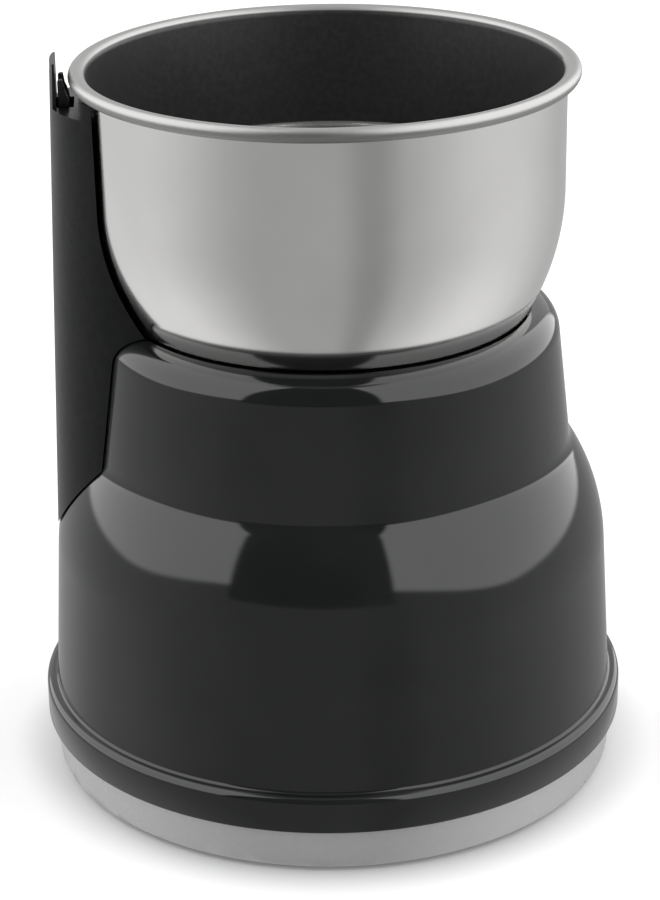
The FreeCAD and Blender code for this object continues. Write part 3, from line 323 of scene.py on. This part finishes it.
def make_finishes():
    """One material for each slot of the record."""
    return {
        "shell": new_finish(
            "glossy_anthracite_shell", flecked((0.0070, 0.0074, 0.0076), (0.0092, 0.0096, 0.0098), 60.0),
            wavering(0.055, 0.085, 45.0), textured(150.0, 0.02, 0.0001), Specular_IOR_Level=0.46),
        "column": new_finish(
            "satin_anthracite_column", flecked((0.0066, 0.0070, 0.0070), (0.0088, 0.0092, 0.0092), 700.0),
            wavering(0.25, 0.31, 120.0), textured(2600.0, 0.10, 0.00004), Specular_IOR_Level=0.18),
        "plate": new_finish(
            "silver_grey_plate", flecked((0.435, 0.435, 0.44), (0.45, 0.45, 0.455), 900.0),
            wavering(0.27, 0.33, 90.0), textured(1800.0, 0.05, 0.00003), Metallic=0.5),
        "rubber": new_finish(
            "black_rubber", flecked((0.010, 0.010, 0.010), (0.022, 0.022, 0.022), 800.0),
            wavering(0.62, 0.82, 200.0), textured(1500.0, 0.35, 0.0001)),
        "steel_polished": steel_cup_finish(),
        "steel": new_finish(
            "plain_steel", flecked((0.50, 0.50, 0.51), (0.62, 0.62, 0.63), 160.0, (1.0, 6.0, 1.0)),
            wavering(0.20, 0.34, 240.0, (1.0, 8.0, 1.0)), textured(700.0, 0.10, 0.00005, (1.0, 10.0, 1.0)),
            Metallic=1.0),
        "bronze": new_finish(
            "sintered_bronze", flecked((0.36, 0.20, 0.08), (0.52, 0.32, 0.14), 1200.0),
            wavering(0.38, 0.55, 900.0), textured(1800.0, 0.40, 0.00008), Metallic=1.0),
        "black_plastic": new_finish(
            "black_plastic", flecked((0.009, 0.009, 0.010), (0.016, 0.016, 0.017), 500.0),
            wavering(0.38, 0.52, 160.0), textured(2000.0, 0.16, 0.00005)),
        "white_plastic": new_finish(
            "natural_nylon", flecked((0.60, 0.58, 0.52), (0.68, 0.66, 0.60), 220.0),
            wavering(0.35, 0.48, 140.0), textured(1200.0, 0.10, 0.00005)),
        "laminated": lamination_finish(),
        "copper": winding_finish(),
        "carbon": new_finish(
            "pressed_carbon", flecked((0.012, 0.012, 0.013), (0.035, 0.035, 0.038), 1600.0),
            wavering(0.45, 0.65, 900.0), textured(2400.0, 0.40, 0.00008)),
        "film": new_finish(
            "moulded_capacitor", flecked((0.50, 0.30, 0.03), (0.58, 0.36, 0.05), 180.0),
            wavering(0.22, 0.34, 120.0), textured(900.0, 0.08, 0.00005)),
        "lead": new_finish(
            "insulated_lead", flecked((0.20, 0.012, 0.010), (0.27, 0.020, 0.016), 400.0),
            wavering(0.30, 0.45, 300.0), textured(1500.0, 0.12, 0.00005)),
    }


def bend(start, end, radius, turn, steps):
    """Points along an arc after its start; turn is 1 for a centre on the left, -1 for the right."""
    start, end = Vector(start), Vector(end)
    chord = end - start
    side = Vector((-chord.y, chord.x)).normalized() * turn
    centre = (start + end) / 2 + side * math.sqrt(max(radius ** 2 - chord.length_squared / 4, 0.0))
    begin = math.atan2(start.y - centre.y, start.x - centre.x)
    sweep = math.atan2(end.y - centre.y, end.x - centre.x) - begin
    if turn > 0 and sweep < 0:
        sweep += 2 * math.pi
    if turn < 0 and sweep > 0:
        sweep -= 2 * math.pi
    angles = [begin + sweep * i / steps for i in range(1, steps + 1)]
    return [(centre.x + radius * math.cos(a), centre.y + radius * math.sin(a)) for a in angles]


def ease_corner(before, corner, after, size, steps=10):
    """Rounded corner between two straight or nearly straight runs."""
    before, corner, after = Vector(before), Vector(corner), Vector(after)
    first, second = (before - corner).normalized(), (after - corner).normalized()
    half = math.acos(max(-1.0, min(1.0, first.dot(second)))) / 2
    reach = size / math.tan(half)
    centre = corner + (first + second).normalized() * size / math.sin(half)
    start, end = corner + first * reach, corner + second * reach
    begin = math.atan2(start.y - centre.y, start.x - centre.x)
    sweep = math.atan2(end.y - centre.y, end.x - centre.x) - begin
    sweep = (sweep + math.pi) % (2 * math.pi) - math.pi
    angles = [begin + sweep * i / steps for i in range(steps + 1)]
    return [(centre.x + size * math.cos(a), centre.y + size * math.sin(a)) for a in angles]


def keep_crisp(bm, limit=32.0):
    """Smooth shading, with edges sharper than the limit left crisp."""
    for face in bm.faces:
        face.smooth = True
    for edge in bm.edges:
        if len(edge.link_faces) == 2:
            edge.smooth = edge.calc_face_angle(0.0) < math.radians(limit)


def add_piece(name, bm, body, slot, nodes, finishes):
    """Finished piece that rides on its body and stands for its CAD nodes."""
    mesh = bpy.data.meshes.new(name)
    bm.to_mesh(mesh)
    bm.free()
    piece = bpy.data.objects.new(name, mesh)
    bpy.context.scene.collection.objects.link(piece)
    mesh.materials.append(finishes[slot])
    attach(piece, body)
    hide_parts(*nodes)
    return piece


def turn_outline(bm, outline):
    """Spin a closed outline of (radius, height) about the motor axis."""
    verts = [bm.verts.new((r * MM, 0.0, z * MM)) for r, z in outline]
    edges = [bm.edges.new((verts[i - 1], verts[i])) for i in range(len(verts))]
    bmesh.ops.spin(bm, geom=verts + edges, cent=(0, 0, 0), axis=(0, 0, 1), angle=2 * math.pi,
                   steps=ROUND_STEPS, use_merge=True, use_duplicate=False)
    bmesh.ops.remove_doubles(bm, verts=bm.verts, dist=1e-7)
    bmesh.ops.recalc_face_normals(bm, faces=bm.faces)


def housing_outline():
    """Flange, skirt, bell, drum and lip outside; bay, well and hollow inside."""
    bell = bend(SKIRT_TOP, DRUM_FOOT, BELL_ROUND, 1, 48)
    cut = next(i for i, point in enumerate(bell) if point[1] > BELL_END)
    throat = ease_corner(bell[cut], DRUM_FOOT, DRUM_TOP, THROAT_ROUND)
    outside = [(51.0, 8.5), (53.6, 8.5), (53.88, 8.62), (54.0, 8.9), FLANGE_SIDE]
    outside += bend(FLANGE_SIDE, FLANGE_SHELF, FLANGE_ROUND, 1, 10)
    outside += ease_corner(FLANGE_SHELF, CREASE, SKIRT_TOP, CREASE_ROUND, 6)
    outside += [SKIRT_TOP] + [point for point in bell if point[1] < throat[0][1] - 0.3]
    outside += throat + [DRUM_TOP] + bend(DRUM_TOP, LIP_CREST, LIP_ROUND, 1, 20)
    inside = [MOUTH_TOP] + bend(MOUTH_TOP, MOUTH_FOOT, MOUTH_ROUND, -1, 8)
    inside += [(34.11, 79.4), (20.0, 79.4), (20.0, 70.4), (7.6, 70.4), (7.6, 73.4), (5.6, 73.4), (5.6, 68.0)]
    inside += [(22.4, 68.0), (22.4, 76.9), (36.51, 76.9), (36.51, 81.03), (39.17, 81.03), HOLLOW_TOP]
    inside += bend(HOLLOW_TOP, HOLLOW_FOOT, HOLLOW_ROUND, -1, 16)
    inside += [(49.55, 15.0), (51.0, 13.15)]
    return outside + inside


def cup_outline():
    """Outside of the pressed cup up to its rolled rim, then the inside back down to the bush."""
    outer = [(6.0, 84.5), (12.2, 84.5), (14.4, 79.7), CUP_FLOOR]
    outer += bend(CUP_FLOOR, CUP_KNEE, KNEE_ROUND, 1, 12) + bend(CUP_KNEE, CUP_SHOULDER, BOWL_ROUND, 1, 48)
    outer += [(42.05, 128.2)]
    around_rim = [math.radians(-90 + 180 * i / RIM_STEPS) for i in range(RIM_STEPS + 1)]
    rim = [(RIM_CENTRE[0] + RIM_TUBE * math.cos(a), RIM_CENTRE[1] + RIM_TUBE * math.sin(a))
           for a in around_rim]
    inner_top = (CUP_SHOULDER[0] - CUP_WALL, RIM_CENTRE[1] - 0.45)
    inner = bend(rim[-1], inner_top, 1.8, 1, 10) + [CUP_SHOULDER_INSIDE]
    inner += bend(CUP_SHOULDER_INSIDE, CUP_KNEE_INSIDE, BOWL_ROUND_INSIDE, -1, 40)
    inner += bend(CUP_KNEE_INSIDE, CUP_FLOOR_INSIDE, KNEE_ROUND_INSIDE, -1, 12)
    inner += [(14.8, 80.4), (12.6, 85.2), (6.0, 85.2)]
    return outer + rim + inner, len(outer + rim) + LINING_START


def make_cup(finishes):
    """Steel cup; a vertex that matches a lining point to 0.001 mm is marked for the coating.

    Vertices that fall just past a rounding step miss their mark and stay bare steel.
    """
    outline, first_lined = cup_outline()
    lined = {(round(r, 3), round(z, 3)) for r, z in outline[first_lined:]}
    bm = bmesh.new()
    turn_outline(bm, outline)
    keep_crisp(bm)
    layer = bm.verts.layers.float.new("lining")
    for vert in bm.verts:
        at = (round(math.hypot(vert.co.x, vert.co.y) / MM, 3), round(vert.co.z / MM, 3))
        vert[layer] = 1.0 if at in lined else 0.0
    add_piece("cup_shell", bm, "cup", "steel_polished", ["steel_cup"], finishes)


def make_housing(finishes):
    """Glossy housing moulding with the bosses that the screws go into."""
    bm = bmesh.new()
    turn_outline(bm, housing_outline())
    for count, first, circle, radius, low, high in BOSSES:
        for i in range(count):
            angle = math.radians(first + 360.0 / count * i)
            at = (circle * MM * math.cos(angle), circle * MM * math.sin(angle), (low + high) / 2 * MM)
            bmesh.ops.create_cone(bm, cap_ends=True, segments=40, radius1=radius * MM, radius2=radius * MM,
                                  depth=(high - low) * MM, matrix=Matrix.Translation(at))
    keep_crisp(bm)
    add_piece("housing_shell", bm, "housing", "shell", ["motor_housing"], finishes)


# Pieces made from their CAD form, with the width of their broken edges in millimetres.
BROKEN_EDGES = {
    "switch_column": 0.22, "base_plate": 0.20, "switch_rod": 0.14, "rubber_feet": 0.25,
    "cord_inlet_bush": 0.30, "blade": 0.10, "blade_nut": 0.25, "blade_washer": 0.10,
    "spindle_bush": 0.15, "bush_nut": 0.25, "cup_coupling": 0.20, "drive_coupling": 0.20,
    "base_screws": 0.20,
}


def spread_foot(at):
    """The plate's side leans in less towards its lower edge."""
    radius = math.hypot(at.x, at.y)
    if radius > FOOT_RADIUS * MM and at.z < FOOT_HEIGHT * MM:
        share = 1 - at.z / (FOOT_HEIGHT * MM)
        at.xy *= 1 + FOOT_SPREAD * MM * share / radius


def lower_guard(at):
    """The guard beside the notch stands lower."""
    if at.z > GUARD_HEIGHT * MM:
        at.z -= GUARD_DROP * MM


def shorten_head(at):
    """The ribs of the rod stand lower in the notch."""
    if at.z > HEAD_HEIGHT * MM:
        at.z = HEAD_HEIGHT * MM + (at.z - HEAD_HEIGHT * MM) * HEAD_SCALE


RESHAPED = {"base_plate": spread_foot, "switch_column": lower_guard, "switch_rod": shorten_head}


def soften_node(node, width, finishes):
    """Joined copy of a CAD node, reshaped where the table says so, with its edges broken."""
    source = frame["nodes"][node]
    slots = {part["node"]: part["material_slot"] for part in frame["record"]["subparts"]}
    bm = bmesh.new()
    bm.from_mesh(source.data)
    bmesh.ops.remove_doubles(bm, verts=bm.verts, dist=2e-6)
    bmesh.ops.dissolve_degenerate(bm, edges=bm.edges, dist=1e-7)
    if node in RESHAPED:
        for vert in bm.verts:
            RESHAPED[node](vert.co)
    keep_crisp(bm)
    piece = add_piece(node + "_finished", bm, source["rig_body"], slots[node], [node], finishes)
    bevel = piece.modifiers.new("broken_edge", "BEVEL")
    bevel.width = width * MM
    bevel.segments = 2
    bevel.limit_method = "ANGLE"
    bevel.angle_limit = math.radians(38)
    bevel.harden_normals = True


def dress_nodes(finishes):
    """Give every CAD node that stays the finish of its slot."""
    for part in frame["record"]["subparts"]:
        mesh = frame["nodes"][part["node"]].data
        mesh.materials.clear()
        mesh.materials.append(finishes[part["material_slot"]])


def make_floor():
    """Pale floor that takes the shadow and glows for the camera; the glow is lower around the part, a
    painted shadow.

    Shiny surfaces look past it into the studio.
    """
    bm = bmesh.new()
    below = Matrix.Translation((0, 0, -0.0002))
    bmesh.ops.create_grid(bm, x_segments=1, y_segments=1, size=4.0, matrix=below)
    mesh = bpy.data.meshes.new("floor")
    bm.to_mesh(mesh)
    bm.free()
    floor = bpy.data.objects.new("floor", mesh)
    bpy.context.scene.collection.objects.link(floor)
    f = Finish(bpy.data.materials.new("pale_floor"))
    rays = f.tree.nodes.new("ShaderNodeLightPath").outputs
    seen, shiny = Wire(f, rays["Is Camera Ray"]), Wire(f, rays["Is Glossy Ray"])
    matt = f.node("ShaderNodeBsdfDiffuse", sockets={"Color": shade((0.56, 0.56, 0.56))})
    x, y = f.parts(f.place())[:2]
    # Painted shadow: the camera glow rises from low to full across this ring of radii, so the floor near the
    # part is darker than its cast shadow alone makes it.
    beyond_painted_shadow = ((x * x + y * y) ** 0.5).step(*PAINTED_SHADOW_RADII)
    white = f.between(beyond_painted_shadow, shade((0.04, 0.04, 0.04)), shade((0.34, 0.34, 0.34)))
    glow = f.between(seen, shade((0.0, 0.0, 0.0)), white)
    lift = f.node("ShaderNodeEmission", sockets={"Color": glow, "Strength": 1.0})
    solid = f.node("ShaderNodeAddShader", sockets={0: matt, 1: lift})
    clear = f.node("ShaderNodeBsdfTransparent")
    mesh.materials.append(f.surface(f.node("ShaderNodeMixShader", sockets={0: shiny, 1: solid, 2: clear})))


def make_studio():
    """Two large soft boxes with a dark gap between them, a pale table below and a white backdrop."""
    world = bpy.data.worlds.new("studio")
    bpy.context.scene.world = world
    f = Finish(world)
    x, y, z = f.parts(f.node("ShaderNodeTexCoord", out="Generated"))
    turn = x.reckon("ARCTAN2", x, y * -1.0) * (180 / math.pi)
    rise = z.reckon("ARCSINE", z) * (180 / math.pi)
    leftward = turn * -1.0
    boxes = turn.span(*LEFT_BOX, SOFT_EDGE) + turn.span(*RIGHT_BOX, SOFT_EDGE)
    behind = turn.reckon("ABSOLUTE", turn).step(*BACKDROP_FROM)
    dim = behind * (BACKDROP_LEVEL - GAP_LEVEL) + GAP_LEVEL
    left_table = leftward.step(*LEFT_TABLE_RISE) * (1 - leftward.step(*LEFT_TABLE_FALL) * TABLE_FALL_SHARE)
    right_table = turn.step(*RIGHT_TABLE_RISE) * (1 - turn.step(*RIGHT_TABLE_FALL) * TABLE_FALL_SHARE)
    sides = left_table + right_table
    lower = sides * (TABLE_SIDE_LEVEL - TABLE_FRONT_LEVEL) - turn.span(*DIP_TURN, DIP_EDGE) * TABLE_DIP
    lower = lower + sides * (rise * -1.0).step(*TABLE_NEAR) * TABLE_NEAR_GAIN + TABLE_FRONT_LEVEL
    left_drop = leftward.step(*LEFT_FOOT_TURN) * LEFT_FOOT_DROP
    right_drop = turn.step(*RIGHT_FOOT_TURN) * RIGHT_FOOT_DROP
    over_foot = (rise - (BOX_FOOT - left_drop - right_drop)).step(-SOFT_EDGE, SOFT_EDGE) * boxes
    over_table = rise.step(TABLE_TOP - SOFT_EDGE, TABLE_TOP + SOFT_EDGE) * (1 - boxes)
    level = lower + over_foot * (BOX_LEVEL - lower) + over_table * (dim - lower)
    ceiling = rise.step(CEILING_FROM - CEILING_EDGE, CEILING_FROM + CEILING_EDGE)
    level = level * (1 - ceiling) + ceiling * CEILING_LEVEL
    seen = f.node("ShaderNodeLightPath", out="Is Camera Ray")
    f.surface(f.node("ShaderNodeBackground", sockets={
        "Color": shade((1.0, 1.0, 1.0)), "Strength": level * (1 - seen) + seen}))


def make_camera():
    """Camera at the photograph's place and angle."""
    yaw, pitch, roll = (math.radians(a) for a in (CAMERA_YAW, CAMERA_PITCH, CAMERA_ROLL))
    ahead = Vector((math.sin(yaw) * math.cos(pitch), math.cos(yaw) * math.cos(pitch), -math.sin(pitch)))
    level = Vector((math.cos(yaw), -math.sin(yaw), 0.0))
    upright = level.cross(ahead)
    side = level * math.cos(roll) + upright * math.sin(roll)
    upright = upright * math.cos(roll) - level * math.sin(roll)
    data = bpy.data.cameras.new("camera")
    data.lens = CAMERA_LENS
    data.sensor_width = 36.0
    data.clip_start = 0.01
    camera = bpy.data.objects.new("camera", data)
    bpy.context.scene.collection.objects.link(camera)
    axes = Matrix((side, upright, -ahead)).transposed().to_4x4()
    camera.matrix_world = Matrix.Translation(Vector(CAMERA_AT) * MM) @ axes
    bpy.context.scene.camera = camera


finishes = make_finishes()
dress_nodes(finishes)
make_housing(finishes)
make_cup(finishes)
for node, width in BROKEN_EDGES.items():
    soften_node(node, width, finishes)
make_floor()
make_studio()
make_camera()
bpy.context.scene.view_settings.view_transform = "Standard"
